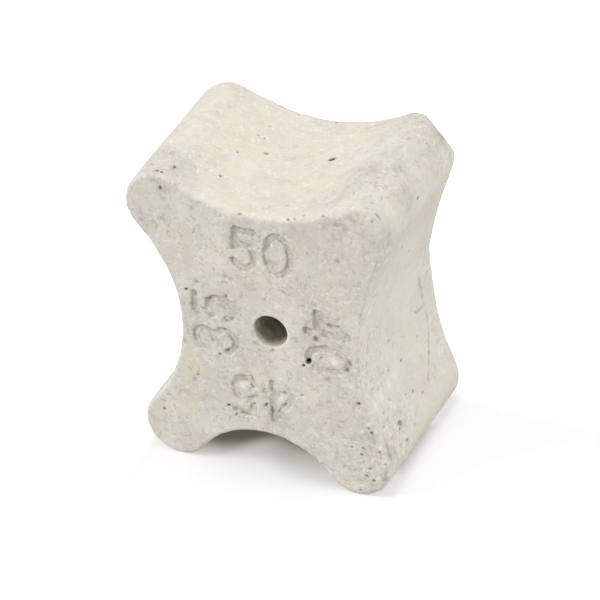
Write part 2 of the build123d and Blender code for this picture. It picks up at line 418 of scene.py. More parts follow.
class Outline:
    """Outline of the back face, clockwise from the bottom seat: seat and lobe arcs in turn."""

    def __init__(self, shape):
        half_width = shape.back_width / MM / 2
        half_height = shape.back_height / MM / 2
        lobe_r = shape.lobe_radius / MM
        lobe_x = half_width - lobe_r
        lobe_z = half_height - lobe_r
        middle = np.array([0.0, half_height])
        sides = (
            ((0, -1), lobe_x, lobe_z, half_height - shape.bottom_seat / MM),
            ((-1, 0), lobe_z, lobe_x, half_width - shape.left_seat / MM),
            ((0, 1), lobe_x, lobe_z, half_height - shape.top_seat / MM),
            ((1, 0), lobe_z, lobe_x, half_width - shape.right_seat / MM),
        )
        corners = ((-1, -1), (-1, 1), (1, 1), (1, -1))
        lobes = [middle + (sx * lobe_x, sz * lobe_z) for sx, sz in corners]
        centres = []
        radii = []
        for out, half_spacing, lobe_rise, seat_rise in sides:
            span = lobe_r - seat_rise
            away = (half_spacing**2 + lobe_rise**2 - span**2) / (2 * (span + lobe_rise))
            centres.append(middle + np.array(out) * away)
            radii.append(away - seat_rise)

        # Rows of centre, radius, first angle, and 1 for a lobe or -1 for a seat
        arcs = []
        sweeps = []
        for side in range(4):
            to_lobe = lobes[side] - centres[side]
            begin = direction(lobes[side - 1] - centres[side])
            arcs.append((*centres[side], radii[side], begin, -1))
            sweeps.append((direction(to_lobe) - begin) % tau)
            begin = direction(-to_lobe)
            arcs.append((*lobes[side], lobe_r, begin, 1))
            sweeps.append((begin - direction(centres[(side + 1) % 4] - lobes[side])) % tau)
        self.arcs = np.array(arcs)
        lengths = np.array(sweeps) * self.arcs[:, 2]
        self.ends = np.cumsum(lengths)
        self.begins = self.ends - lengths
        self.length = self.ends[-1]
        self.thickness = shape.thickness / MM
        self.front_share = shape.front_share
        self.front_edge = shape.front_edge / MM
        self.back_edge = shape.back_edge / MM
        self.front_run = self.front_edge * pi / 2
        self.back_run = self.back_edge * pi / 2
        flat_run = self.thickness - self.front_edge - self.back_edge
        self.down_end = flat_run + self.front_run + self.back_run

    def place(self, along, depth, inset):
        """Points at a distance along the outline, a depth behind the front and an inset from the wall."""
        arc = np.clip(np.searchsorted(self.ends, along, side="right"), 0, len(self.ends) - 1)
        x, z, radius, start, outward = self.arcs[arc].T
        angle = start - outward * (along - self.begins[arc]) / radius
        ray = np.stack([np.cos(angle), np.sin(angle)], 1)
        flat = np.stack([x, z], 1) + ray * radius[:, None]
        share = self.front_share + (1 - self.front_share) * depth / self.thickness
        flat = flat * share[:, None] - ray * (outward * inset)[:, None]
        return np.stack([flat[:, 0], depth - self.thickness / 2, flat[:, 1]], 1)

    def edge_radii(self, along):
        """Radii of the front and back edges: wider on worn lobes, and never quite even."""
        radii = []
        for kind, radius in enumerate((self.front_edge, self.back_edge)):
            wear = np.zeros(len(along))
            for arc, wider in enumerate(WORN_EDGES.values()):
                middle = (self.begins[arc] + self.ends[arc]) / 2
                reach = (self.ends[arc] - self.begins[arc]) / 2
                away = np.abs(along - middle)
                away = np.minimum(away, self.length - away)
                wear += wider[kind] * np.exp(-((away / reach) ** 2))
            ring = along / self.length * tau
            track = np.stack([np.cos(ring) * 30, np.sin(ring) * 30, np.full(len(along), 50.0 * kind)], 1)
            radii.append((radius + wear) * (1 + 0.35 * noise_field(track, 3.0, 7)))
        return radii

    def wall(self, along, down):
        """Points at a distance along the outline and down the wall, round both edges."""
        front_r, back_r = self.edge_radii(along)
        first = np.clip(down / self.front_run, 0, 1) * pi / 2
        last = np.clip((down - self.down_end) / self.back_run + 1, 0, 1) * pi / 2
        flat_run = self.down_end - self.front_run - self.back_run
        flat = np.clip((down - self.front_run) / flat_run, 0, 1) * (self.thickness - front_r - back_r)
        depth = front_r * (1 - np.cos(first)) + flat + back_r * np.sin(last)
        inset = front_r * (1 - np.sin(first)) + back_r * (1 - np.cos(last))
        return self.place(along, depth, inset)


def lattice(low, high, spacing, seed):
    """Points of a triangular grid over a rectangle, each nudged a little so that no rows show."""
    x, z = np.meshgrid(np.arange(low[0], high[0], spacing), np.arange(low[1], high[1], spacing * ROW_SHARE))
    x[1::2] += spacing / 2
    points = np.stack([x.ravel(), z.ravel()], 1)
    return points + np.random.default_rng(seed).uniform(-0.12, 0.12, points.shape) * spacing


def least(away):
    """The length of the shortest vector in each row."""
    return np.hypot(*away.transpose(2, 0, 1)).min(1)


def gap_to(points, loop):
    """Distance from each point to the nearest point of a loop, worked out in parts to save memory."""
    best = np.full(len(points), FAR)
    for start in range(0, len(loop), 64):
        best = np.minimum(best, least(points[:, None] - loop[None, start:start + 64]))
    return best


def triangulate(loops, inner):
    """Fills the area inside closed loops through the inner points."""
    edges = []
    start = 0
    for loop in loops:
        edges += [(start + i, start + (i + 1) % len(loop)) for i in range(len(loop))]
        start += len(loop)
    filled = delaunay_2d_cdt([Vector(p) for p in np.vstack(loops + [inner])], edges, [], 1, 1e-4)
    return np.array([tuple(p) for p in filled[0]]), filled[2]


def arc_line(centre, radii, begin, end, steps=18):
    """Points along part of an ellipse, angles in degrees."""
    angle = np.radians(np.linspace(begin, end, steps))
    return np.stack([centre[0] + radii[0] * np.cos(angle), centre[1] + radii[1] * np.sin(angle)], 1)


# Pen lines of each digit, from its middle, for a digit about 8 mm high
DIGIT_LINES = {
    "0": [arc_line((0.0, 0.0), (2.03, 3.38), 0, 360, 32)],
    "3": [
        arc_line((-0.1, 1.90), (1.75, 1.50), 168, -90),
        arc_line((-0.1, -1.50), (2.0, 1.88), 90, -165),
    ],
    "4": [
        np.array([(-2.35, -1.70), (2.45, -1.70)]),
        np.array([(1.20, -3.55), (1.20, 3.50)]),
        np.array([(-2.20, -1.45), (1.05, 3.45)]),
    ],
    "5": [
        np.array([(1.85, 3.28), (-1.05, 3.28), (-1.45, 0.35)]),
        arc_line((0.0, -1.25), (1.82, 2.10), 134, -152, 24),
    ],
}


def pen_distance(points, lines):
    """Distance from each point to the nearest of a digit's pen lines."""
    best = np.full(len(points), FAR)
    for line in lines:
        run = line[1:] - line[:-1]
        away = points[:, None] - line[None, :-1]
        share = np.clip((away * run).sum(2) / (run * run).sum(1), 0, 1)
        best = np.minimum(best, least(away - share[..., None] * run))
    return best


def number_distance(points):
    """Distance in the front face from each point to the nearest digit's pen line."""
    best = np.full(len(points), FAR)
    front = points[:, 1] < DIGITS_Y
    for number in NUMBERS:
        turn = radians(number.turn)
        away = points[:, [0, 2]] - (number.x, number.z)
        text = np.stack([
            away[:, 0] * cos(turn) + away[:, 1] * sin(turn),
            away[:, 1] * cos(turn) - away[:, 0] * sin(turn),
        ], 1)
        for position, digit in enumerate(number.digits):
            own = text - ((position - 0.5) * number.spacing, 0)
            near = front & (np.abs(own[:, 0]) < 4.5) & (np.abs(own[:, 1]) < 5.5)
            best[near] = np.minimum(best[near], pen_distance(own[near], DIGIT_LINES[digit]))
    return best


def side_plane(points, side):
    """The two coordinates in which a side's marks are given, and which points are on that side."""
    x, y, z = points.T
    if side == "front":
        return x, z, y < FRONT_Y
    if side == "top":
        return x, y, z > TOP_Z
    return z, y, x > RIGHT_X


def pit_reach(points, pit):
    """Squared distance from the pit's middle, 1 at its rim."""
    across, along, there = side_plane(points, pit.side)
    turn = radians(pit.turn)
    a = across - pit.across
    b = along - pit.along
    u = (a * cos(turn) + b * sin(turn)) / (pit.width / 2)
    v = (b * cos(turn) - a * sin(turn)) / (pit.length / 2)
    return np.where(there, u * u + v * v, FAR)


def seam_distance(points):
    """Distance from the mould's seam lines on the right side."""
    across, along, there = side_plane(points, "right")
    flat = np.stack([across, along], 1)
    branch = pen_distance(flat, [SEAM_BRANCH]) + BRANCH_FAINTER
    return np.where(there, np.minimum(pen_distance(flat, [SEAM_LINE]), branch), FAR)


def chip_height(points, chip):
    """How far each point stands out of a chip's rough plane, less the further it is from the chip."""
    away = points - np.array(chip.point)
    normal = np.array(chip.normal) / np.linalg.norm(chip.normal)
    fade = np.maximum(np.linalg.norm(away, axis=1) / chip.reach - 0.6, 0) * 6
    return away @ normal - fade, normal


def spread(points, place):
    """1 at the middle of a place, falling to 0 round it."""
    away = np.linalg.norm(points - np.array(place.point), axis=1) / place.reach
    return np.exp(-away * away)


def strongest(points, marks):
    """At each point, the strongest of the marks it lies in."""
    amount = np.zeros(len(points))
    for mark in marks:
        amount = np.maximum(amount, mark.amount * spread(points, mark))
    return amount


def wants_detail(points, stroke):
    """Whether the mesh has to be fine at each point."""
    fine = np.abs(number_distance(points) - stroke / 2) < 0.32
    for chip in CHIPS:
        fine |= chip_height(points, chip)[0] > -0.25
    for pit in PITS:
        fine |= pit_reach(points, pit) < (1 + 0.35 / min(pit.width, pit.length)) ** 2
    fine |= seam_distance(points) < 0.3
    return fine


def face_patch(outline, ring, hole, end, spacings, stroke):
    """The face at the front or back end, up to the hole's rim, as points and triangles."""
    hole_at, hole_r, hole_loop = hole
    down, depth = end
    loop = outline.wall(ring, np.full(len(ring), down))[:, [0, 2]]

    def solid(flat):
        return np.column_stack([flat[:, 0], np.full(len(flat), depth - outline.thickness / 2), flat[:, 1]])

    kept = []
    for level, spacing in enumerate(spacings):
        points = lattice(loop.min(0), loop.max(0), spacing, 1 + level)
        if len(spacings) > 1:
            points = points[wants_detail(solid(points), stroke) == bool(level)]
        clear = gap_to(points, loop) > spacings[0] * 0.5
        clear &= np.hypot(*(points - hole_at).T) > hole_r + spacings[0] * 0.4
        kept.append(points[clear])
    flat, faces = triangulate([loop, hole_loop], np.vstack(kept))
    beyond = np.hypot(*(flat - hole_at).T) > hole_r + 1e-3
    return solid(flat), [f for f in faces if beyond[list(f)].any()]


def wall_patch(outline, ring, spacings, stroke):
    """The wall with both its edges: filled as a flat strip, then put round the outline."""
    end = outline.down_end
    down = np.linspace(0, end, int(end / spacings[0]) + 1)[1:-1]
    right = np.full(len(down), outline.length)
    loop = np.vstack([
        np.column_stack([ring, np.zeros(len(ring))]),
        np.column_stack([right, down]),
        np.column_stack([ring, np.full(len(ring), end)])[::-1],
        np.column_stack([right * 0, down])[::-1],
    ])
    kept = []
    for level, spacing in enumerate(spacings):
        gap = spacing * 0.5
        points = lattice((gap, gap), (outline.length - gap, end - gap), spacing, 3 + level)
        points = points[(points[:, 0] < outline.length - gap) & (points[:, 1] < end - gap)]
        kept.append(points[wants_detail(outline.wall(*points.T), stroke) == bool(level)])
    flat, faces = triangulate([loop], np.vstack(kept))
    return outline.wall(np.clip(flat[:, 0], 0, outline.length), flat[:, 1]), faces


def hole_patch(thickness, hole_at, hole_r, rays):
    """The hole's wall with a rounded rim at each end."""
    quarter = np.linspace(0, pi / 2, 4)
    rows = [(RIM * (1 - cos(t)), RIM * (1 - sin(t))) for t in quarter]
    rows += [(y, 0.0) for y in np.linspace(RIM, thickness - RIM, 60)[1:-1]]
    rows += [(thickness - y, out) for y, out in rows[3::-1]]
    solid = []
    for depth, out in rows:
        solid += [(x, depth - thickness / 2, z) for x, z in hole_at + rays * (hole_r + out)]
    count = len(rays)
    faces = []
    for start in range(0, len(solid) - count, count):
        for i in range(count):
            j = (i + 1) % count
            faces.append((start + i, start + j, start + count + j, start + count + i))
    return np.array(solid), faces


def block_patches(shape, surface):
    """The block's front, back, wall and hole as points and triangles."""
    outline = Outline(shape)
    coarse = surface.coarse / MM
    spacings = (coarse, surface.fine / MM)
    stroke = surface.stroke / MM
    ring = np.linspace(0, outline.length, int(outline.length / coarse) + 1)
    hole_at = np.array([shape.hole_x / MM, shape.hole_height / MM])
    hole_r = shape.hole_radius / MM
    angles = np.linspace(0, tau, HOLE_SIDES + 1)[:-1]
    rays = np.stack([np.cos(angles), np.sin(angles)], 1)
    hole = (hole_at, hole_r + RIM, hole_at + rays * (hole_r + RIM))
    front = (0.0, 0.0)
    back = (outline.down_end, outline.thickness)
    return [
        face_patch(outline, ring[:-1], hole, front, spacings, stroke),
        face_patch(outline, ring[:-1], hole, back, (coarse * 1.4,), stroke),
        wall_patch(outline, ring, spacings, stroke),
        hole_patch(outline.thickness, hole_at, hole_r, rays),
    ]


def weld(patches, name):
    """Joins the patches into one closed mesh in mm, with its faces outwards."""
    points = []
    faces = []
    for solid, own in patches:
        start = len(points)
        points += [tuple(p) for p in solid]
        faces += [tuple(start + i for i in f) for f in own]
    mesh = bpy.data.meshes.new(name)
    mesh.from_pydata(points, [], faces)
    bm = bmesh.new()
    bm.from_mesh(mesh)
    bmesh.ops.remove_doubles(bm, verts=bm.verts, dist=WELD_GAP)
    bmesh.ops.recalc_face_normals(bm, faces=bm.faces)
    open_edges = sum(1 for e in bm.edges if len(e.link_faces) != 2)
    bm.to_mesh(mesh)
    bm.free()
    if open_edges:
        raise RuntimeError(f"{name} has {open_edges} open edges")
    return mesh


def read_rows(data, name):
    """One vector for each point of a mesh, as the rows of an array."""
    values = np.zeros(len(data) * 3)
    data.foreach_get(name, values)
    return values.reshape(-1, 3)


def near_noise(points, near, *settings):
    """Noise at the points marked as near, and 0 elsewhere."""
    values = np.zeros(len(points))
    values[near] = noise_field(points[near], *settings)
    return values


def edge_fold(normals):
    """1 on the rounded front and back edges, falling to 0 beside them."""
    return np.clip(1 - np.abs(np.abs(normals[:, 1]) - 0.7) / 0.35, 0, 1)


def carve(points, normals, shape, surface):
    """Breaks off the chips and sinks the rest. Returns the new points and masks for the material."""
    away = number_distance(points)
    rough = np.maximum(strongest(points, ROUGH_PLACES), 0.75 * (1 - smooth_step(0.8, 2.4, away)))

    # Slow waves of the cast skin, lumps where the skin is thin, dents and swellings
    waves = noise_field(points, 9.0, 1) + 0.45 * noise_field(points, 2.6, 2)
    sunk = surface.unevenness / MM * 0.5 * waves
    sunk += (0.015 + 0.070 * rough) * noise_field(points, 1.2, 3, 3)
    sunk += 0.030 * rough * noise_field(points, 0.45, 8)
    for dent in DENTS:
        sunk += dent.amount * spread(points, dent)

    # Nibbled front and back edges
    nibbled = np.clip(noise_field(points, 1.1, 9, 2) - 0.05, 0, 1)
    sunk += edge_fold(normals) * (0.16 + 0.30 * rough) * nibbled

    # Chips: what stands out of each rough plane is gone
    broken = np.zeros(len(points))
    crumbs = noise_field(points, 1.2, 10, 3)
    for chip in CHIPS:
        height, normal = chip_height(points, chip)
        cut = np.clip(height + CRUMBS * crumbs, 0, None)
        points = points - normal * cut[:, None]
        broken = np.maximum(broken, smooth_step(0, 0.35, cut))

    # Sunken digits, with walls that lean a little and strokes that are filled here and there
    near = away < NEAR_DIGITS
    half_stroke = surface.stroke / MM / 2
    wobble = near_noise(points, near, 0.7, 4, 2)
    filled = np.clip(0.85 + 0.60 * near_noise(points, near, 1.6, 5), 0.3, 1.2)
    digits = 1 - smooth_step(half_stroke - 0.08, half_stroke + 0.06, away + 0.14 * wobble)
    clear = 1 - strongest(points, FILLS)
    sunk += digits * clear * surface.number_depth / MM * filled
    # Dark line at the foot of the digits' walls: painted shade, partly dirt
    groove_shade_and_dirt = digits * clear * smooth_step(0.15, 0.02, np.abs(away - half_stroke + 0.07))

    # Air holes, darkened with dirt and painted shade
    dirt_and_shade_in_holes = np.zeros(len(points))
    for pit in PITS:
        bowl = np.clip(1.5 * (1 - pit_reach(points, pit)), 0, 1)
        sunk += bowl * pit.depth
        dirt_and_shade_in_holes = np.maximum(dirt_and_shade_in_holes, bowl * pit.dark)

    # Seam line, darkened with dirt and painted shade
    seam = 1 - smooth_step(0.08, 0.26, seam_distance(points) + 0.18 * noise_field(points, 0.8, 15))
    seam *= np.clip(0.7 + 1.4 * noise_field(points, 1.8, 13), 0.1, 1)
    sunk += SEAM_DEPTH * seam
    dirt_and_shade_in_holes = np.maximum(dirt_and_shade_in_holes, 0.36 * seam)

    # Uneven wall of the tie hole
    bore = np.hypot(points[:, 0] - shape.hole_x / MM, points[:, 2] - shape.hole_height / MM)
    # The same share darkens the hole's wall in the colour: its own olive tone, partly painted shade
    inside = (bore < shape.hole_radius / MM + 0.2) * smooth_step(-0.1, 1.2, -FACE_Y - np.abs(points[:, 1]))
    sunk += inside * BORE_WAVES * noise_field(points, 1.6, 11, 3)

    # The block keeps the CAD model's box
    points = points - normals * sunk[:, None]
    low, high = np.array([list(corner) for corner in cad_box]) / MM
    masks = {
        "number_floor": digits, "dirt_and_shade_in_holes": dirt_and_shade_in_holes, "rough": rough, "broken": broken,
        "groove_shade_and_dirt": groove_shade_and_dirt, "bore": inside,
    }
    return np.clip(points, low + 0.01, high - 0.01), masks


def add_marks(masks, points, normals, shape):
    """Adds masks for stains and painted shade, scuffs and painted highlights, patches, the differences
    between sides, and painted shade in the tie hole.
    """
    x, y, z = points.T
    rough = masks["rough"]
    rise = z - shape.hole_height / MM + 0.5 * (x - shape.hole_x / MM)
    # Upper wall of the tie hole darker: painted shade
    masks["bore_painted_shade"] = masks["bore"] * smooth_step(-1.4, 1.4, rise + 0.8 * noise_field(points, 1.5, 16))
    lobe = np.maximum(smooth_step(-12.5, -9.5, x), smooth_step(-9.0, -4.0, y))
    seat = smooth_step(12.5, 9.5, x) * smooth_step(45.0, 47.0, z) * lobe
    masks["seat_skin"] = seat * smooth_step(0.3, 0.8, normals[:, 2])
    wall = smooth_step(0.6, 0.3, np.abs(normals[:, 1])) * (1 - rough)
    masks["wall"] = wall * smooth_step(0.8, 0.3, normals[:, 2])
    masks["rosy"] = strongest(points, BLUSHES)
    masks["buff"] = strongest(points, BUFFS)
    masks["grey"] = strongest(points, GREYS)
    # Painted highlight along the rounded front and back edges on the right
    right_edge_highlight = edge_fold(normals) * smooth_step(10.0, 15.0, x) * (1 - 0.6 * rough)
    right_edge_highlight *= smooth_step(49.0, 45.0, z)
    scuffs_and_highlights = np.maximum(strongest(points, SCUFFS_AND_HIGHLIGHTS), 0.45 * right_edge_highlight)
    masks["scuff_and_highlight"] = scuffs_and_highlights * (0.8 + 0.5 * noise_field(points, 0.8, 14, 2))
    # Grey-green stains, and painted shade round the top right lobe
    masks["stain_and_shade"] = strongest(points, STAINS_AND_SHADE) * (0.65 + 0.7 * noise_field(points, 1.0, 12, 3))


class SPACER_OT_cast_block(bpy.types.Operator):
    """Makes the cast block with its sunken numbers, air holes, chips and worn edges"""

    bl_idname = "spacer.cast_block"
    bl_label = "Cast Block"
    bl_options = {"REGISTER", "UNDO"}

    def execute(self, context):
        shape = context.scene.spacer_shape
        surface = context.scene.spacer_surface
        mesh = weld(block_patches(shape, surface), "cast_block")
        normals = read_rows(mesh.vertex_normals, "vector")
        points, masks = carve(read_rows(mesh.vertices, "co"), normals, shape, surface)
        add_marks(masks, points, normals, shape)
        mesh.vertices.foreach_set("co", (points * MM).ravel())
        for name, values in masks.items():
            layer = mesh.attributes.new(name, "FLOAT", "POINT")
            layer.data.foreach_set("value", np.asarray(values, np.float32))
        mesh.shade_smooth()
        mesh.update()
        context.scene.collection.objects.link(bpy.data.objects.new("cast_block", mesh))
        return {"FINISHED"}


def pinhole_tree(surface):
    """Geometry nodes that press round bowls into a mesh. Returns the tree and its inputs' identifiers."""
    tree = bpy.data.node_groups.new("pinholes", "GeometryNodeTree")
    sockets = {}
    for name, kind, value in (
        ("Geometry", "Geometry", None),
        ("Density", "Float", surface.pinholes * 1e4),
        ("Smallest", "Float", 0.22 * MM),
        ("Largest", "Float", 0.50 * MM),
        ("Seed", "Int", surface.seed),
        ("Material", "Material", None),
    ):
        socket = tree.interface.new_socket(name, in_out="INPUT", socket_type="NodeSocket" + kind)
        if value is not None:
            socket.default_value = value
        sockets[name] = socket.identifier
    tree.interface.new_socket("Geometry", in_out="OUTPUT", socket_type="NodeSocketGeometry")
    given = add_node(tree, "NodeGroupInput").outputs
    mesh, seed = given["Geometry"], given["Seed"]
    scattered = add_node(tree, "GeometryNodeDistributePointsOnFaces", {
        "Mesh": mesh, "Density": given["Density"], "Seed": seed})
    radius = add_node(tree, "FunctionNodeRandomValue", {
        2: given["Smallest"], 3: given["Largest"], "Seed": seed}, data_type="FLOAT")
    sized = add_node(tree, "GeometryNodeStoreNamedAttribute", {
        "Geometry": scattered, "Name": "hole_radius", "Value": radius.outputs[1]})
    nearest = add_node(tree, "GeometryNodeSampleNearest", {"Geometry": sized})
    position = add_node(tree, "GeometryNodeInputPosition")
    own_radius = add_node(tree, "GeometryNodeInputNamedAttribute", {"Name": "hole_radius"})

    def at_nearest(value, kind):
        inputs = {"Geometry": sized, "Value": value, "Index": nearest}
        return add_node(tree, "GeometryNodeSampleIndex", inputs, data_type=kind)

    # Each hole is deepest in its middle, by nine tenths of its radius
    centre = at_nearest(position, "FLOAT_VECTOR")
    reach = at_nearest(own_radius, "FLOAT")
    away = add_node(tree, "ShaderNodeVectorMath", {0: position, 1: centre}, operation="DISTANCE")
    share = add_maths(tree, "DIVIDE", away.outputs["Value"], reach)
    bowl = add_maths(tree, "SUBTRACT", 1.0, share, use_clamp=True)
    rounded = add_maths(tree, "POWER", bowl, 0.6)
    inward = add_maths(tree, "MULTIPLY", add_maths(tree, "MULTIPLY", rounded, reach), -0.9)
    normal = add_node(tree, "GeometryNodeInputNormal")
    offset = add_node(tree, "ShaderNodeVectorMath", {0: normal, "Scale": inward}, operation="SCALE")
    pressed = add_node(tree, "GeometryNodeSetPosition", {"Geometry": mesh, "Offset": offset})
    marked = add_node(tree, "GeometryNodeStoreNamedAttribute", {
        "Geometry": pressed, "Name": "pinhole", "Value": rounded})
    real = add_node(tree, "GeometryNodeRealizeInstances", {"Geometry": marked})
    coated = add_node(tree, "GeometryNodeSetMaterial", {"Geometry": real, "Material": given["Material"]})
    add_node(tree, "NodeGroupOutput", {0: coated})
    return tree, sockets


class SPACER_OT_press_pinholes(bpy.types.Operator):
    """Presses small air holes into the block's surface, at random places that stay the same"""

    bl_idname = "spacer.press_pinholes"
    bl_label = "Press Pinholes"
    bl_options = {"REGISTER", "UNDO"}

    def execute(self, context):
        block = bpy.data.objects["cast_block"]
        modifier = block.modifiers.new("pinholes", "NODES")
        modifier.node_group, sockets = pinhole_tree(context.scene.spacer_surface)
        modifier[sockets["Material"]] = bpy.data.materials["cast_concrete"]
        graph = context.evaluated_depsgraph_get()
        mesh = bpy.data.meshes.new_from_object(
            block.evaluated_get(graph), preserve_all_data_layers=True, depsgraph=graph)
        block.modifiers.clear()
        block.data = mesh
        mesh.name = "cast_block"
        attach(block, "root")
        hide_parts("spacer_block")
        return {"FINISHED"}


def concrete_colour(tree, colours, where, rough, flat):
    """The concrete's colour in layers. Returns its socket."""

    def mask(attribute):
        return add_node(tree, "ShaderNodeAttribute", attribute_name=attribute).outputs["Fac"]

    def patches(size, detail, low, high, seed=0, stretch=1, curl=0):
        """Noise with patches of a real size in mm, longer along x by stretch, as a mask from 0 to 1."""
        drawn = add_node(tree, "ShaderNodeVectorMath", {
            0: where, 1: (1 / stretch, 1, 1)}, operation="MULTIPLY")
        cloud = add_node(tree, "ShaderNodeTexNoise", noise_dimensions="4D", inputs={
            "Vector": drawn, "W": seed, "Scale": 1 / (size * MM), "Detail": detail,
            "Roughness": 0.6, "Distortion": curl})
        return add_ramp(tree, cloud, low, high)

    plain = add_node(tree, "ShaderNodeRGB")
    plain.outputs[0].default_value = (*colours.cream, 1)
    seat = mask("seat_skin")
    bare = add_maths(tree, "MULTIPLY", add_ramp(tree, seat, 0, 1, 1.0, 0.25), flat)
    blush = add_maths(tree, "MAXIMUM", mask("rosy"), patches(6, 1.5, 0.47, 0.60, 1))
    # Lime specks, and painted highlights where the scuffs are strongest
    specks_and_highlights = add_ramp(tree, mask("scuff_and_highlight"), 0.35, 0.75)
    # Air holes, seam and pinholes darkened with dirt and painted shade
    holes_dirt_and_shade = add_maths(tree, "MAXIMUM", mask("dirt_and_shade_in_holes"), add_maths(tree, "MULTIPLY", mask("pinhole"), 0.30))

    # Each layer, from the lowest: its colour, how strong it is, and the masks that say where
    layers = (
        # Clouds of 12 mm, pink and grey blots of 6 mm and 3 mm, hardly any of them in the top seat
        ("grey", 0.90, patches(12, 2, 0.40, 0.60)),
        ("rosy", 0.65, blush),
        ("buff", 0.42, patches(6, 2, 0.50, 0.60, 11)),
        ("grey", 0.80, patches(3.5, 2, 0.50, 0.64, 2), flat),
        ("stain_and_shade", 0.22, patches(2.5, 4, 0.52, 0.80, 3), flat),
        ("cream", 0.70, seat),
        ("buff", 0.15, patches(6, 2, 0.48, 0.58, 12), seat),
        ("buff", 0.75, patches(2.5, 2, 0.28, 0.58, 17), mask("buff")),
        ("grey", 0.75, mask("grey")),
        ("rosy", 0.35, patches(4, 2, 0.52, 0.60, 13), seat),
        # Wiped streaks along the seats, and grain of the skin: pale scratches and dark specks
        ("grey", 0.58, mask("wall")),
        ("grey", 0.45, patches(2.2, 3, 0.48, 0.66, 10, 2.5), flat),
        ("stain_and_shade", 0.12, patches(1.2, 3, 0.58, 0.66, 14, 4), seat),
        ("sand_and_highlight", 0.56, patches(1.0, 3, 0.56, 0.62, 4, 1, 1.2), flat),
        ("stain_and_shade", 0.42, patches(1.0, 3, 0.55, 0.68, 5, 1, 1), bare),
        ("dirt_and_shade", 0.22, patches(0.5, 1, 0.69, 0.76, 6), bare),
        # Thin skin: greyer, with more grains of sand
        ("grey", 0.45, rough),
        ("rosy", 0.45, mask("rosy")),
        ("grit", 0.50, patches(1.1, 4, 0.52, 0.68, 7), rough),
        ("sand_and_highlight", 0.70, patches(0.9, 3, 0.56, 0.60, 8), rough),
        ("dirt_and_shade", 0.42, patches(0.7, 3, 0.63, 0.68, 9), rough),
        # Breaks, stains and painted shade, scuffs and painted highlights, digits, tie hole, and dirt with
        # painted shade
        ("sand_and_highlight", 0.15, mask("broken"), patches(1.5, 3, 0.40, 0.60)),
        # Scuffs and painted highlights
        ("sand_and_highlight", 0.90, mask("scuff_and_highlight")),
        ("lime_and_highlight", 0.65, specks_and_highlights),
        # Grey-green stains, and painted shade round the top right lobe
        ("stain_and_shade", 0.75, mask("stain_and_shade")),
        # Digits' floors a little darker and greener: painted shade, partly dust
        ("stain_and_shade", 0.15, mask("number_floor"), patches(2, 3, 0.40, 0.60)),
        # Dark line at the foot of the digits' walls: painted shade, partly dirt
        ("dirt_and_shade", 0.46, mask("groove_shade_and_dirt"), patches(1.5, 2, 0.35, 0.60, 1)),
        # Tie hole's wall olive and darker: its own tone, partly painted shade
        ("bore", 0.62, mask("bore")),
        # Upper wall of the tie hole darker still: painted shade
        ("dirt_and_shade", 0.64, mask("bore_painted_shade")),
        # Air holes, seam and pinholes: dirt and painted shade
        ("dirt_and_shade", 1.00, holes_dirt_and_shade),
    )
    under = plain.outputs[0]
    for name, strength, share, *others in layers:
        for factor in (*others, strength):
            share = add_maths(tree, "MULTIPLY", share, factor)
        over = (*getattr(colours, name), 1)
        mixed = add_node(tree, "ShaderNodeMix", {0: share, 6: under, 7: over}, data_type="RGBA")
        under = mixed.outputs[2]
    return under


class SPACER_OT_mix_concrete(bpy.types.Operator):
    """Makes the concrete's material"""

    bl_idname = "spacer.mix_concrete"
    bl_label = "Mix Concrete"
    bl_options = {"REGISTER", "UNDO"}

    def execute(self, context):
        # Cast concrete: the mould leaves a matt skin of pale cement, mottled where it held more or less
        # water, with fine sand just under it and air holes that hold dirt. Its colour also holds painted
        # shade in the holes, the digits and the tie hole, and painted highlights on some edges.
        tree = new_tree(bpy.data.materials.new("cast_concrete"))
        where = add_node(tree, "ShaderNodeTexCoord").outputs["Object"]
        rough = add_node(tree, "ShaderNodeAttribute", attribute_name="rough").outputs["Fac"]
        wall = add_node(tree, "ShaderNodeAttribute", attribute_name="wall").outputs["Fac"]
        flat = add_ramp(tree, wall, 0, 1, 1.0, 0.3)
        colour = concrete_colour(tree, context.scene.spacer_colours, where, rough, flat)

        # Grit of 0.4 mm over lumps of 1.6 mm, both stronger where the skin is thin
        grit = add_node(tree, "ShaderNodeTexNoise", {
            "Vector": where, "Scale": 1 / (0.4 * MM), "Detail": 4.0, "Roughness": 0.65})
        lumps = add_node(tree, "ShaderNodeTexNoise", {
            "Vector": where, "Scale": 1 / (1.6 * MM), "Detail": 3.0, "Roughness": 0.6})
        strength = add_ramp(tree, rough, 0, 1, 0.4, 1.0)
        fine_strength = add_maths(tree, "MULTIPLY", strength, flat)
        fine_relief = add_node(tree, "ShaderNodeBump", {
            "Strength": fine_strength, "Distance": 0.08 * MM, "Height": grit})
        relief = add_node(tree, "ShaderNodeBump", {
            "Strength": strength, "Distance": 0.25 * MM, "Height": lumps, "Normal": fine_relief})
        shader = add_node(tree, "ShaderNodeBsdfPrincipled", {
            "Base Color": colour, "Roughness": 0.92, "IOR": 1.45, "Specular IOR Level": 0.25,
            "Normal": relief})
        add_node(tree, "ShaderNodeOutputMaterial", {"Surface": shader})
        return {"FINISHED"}


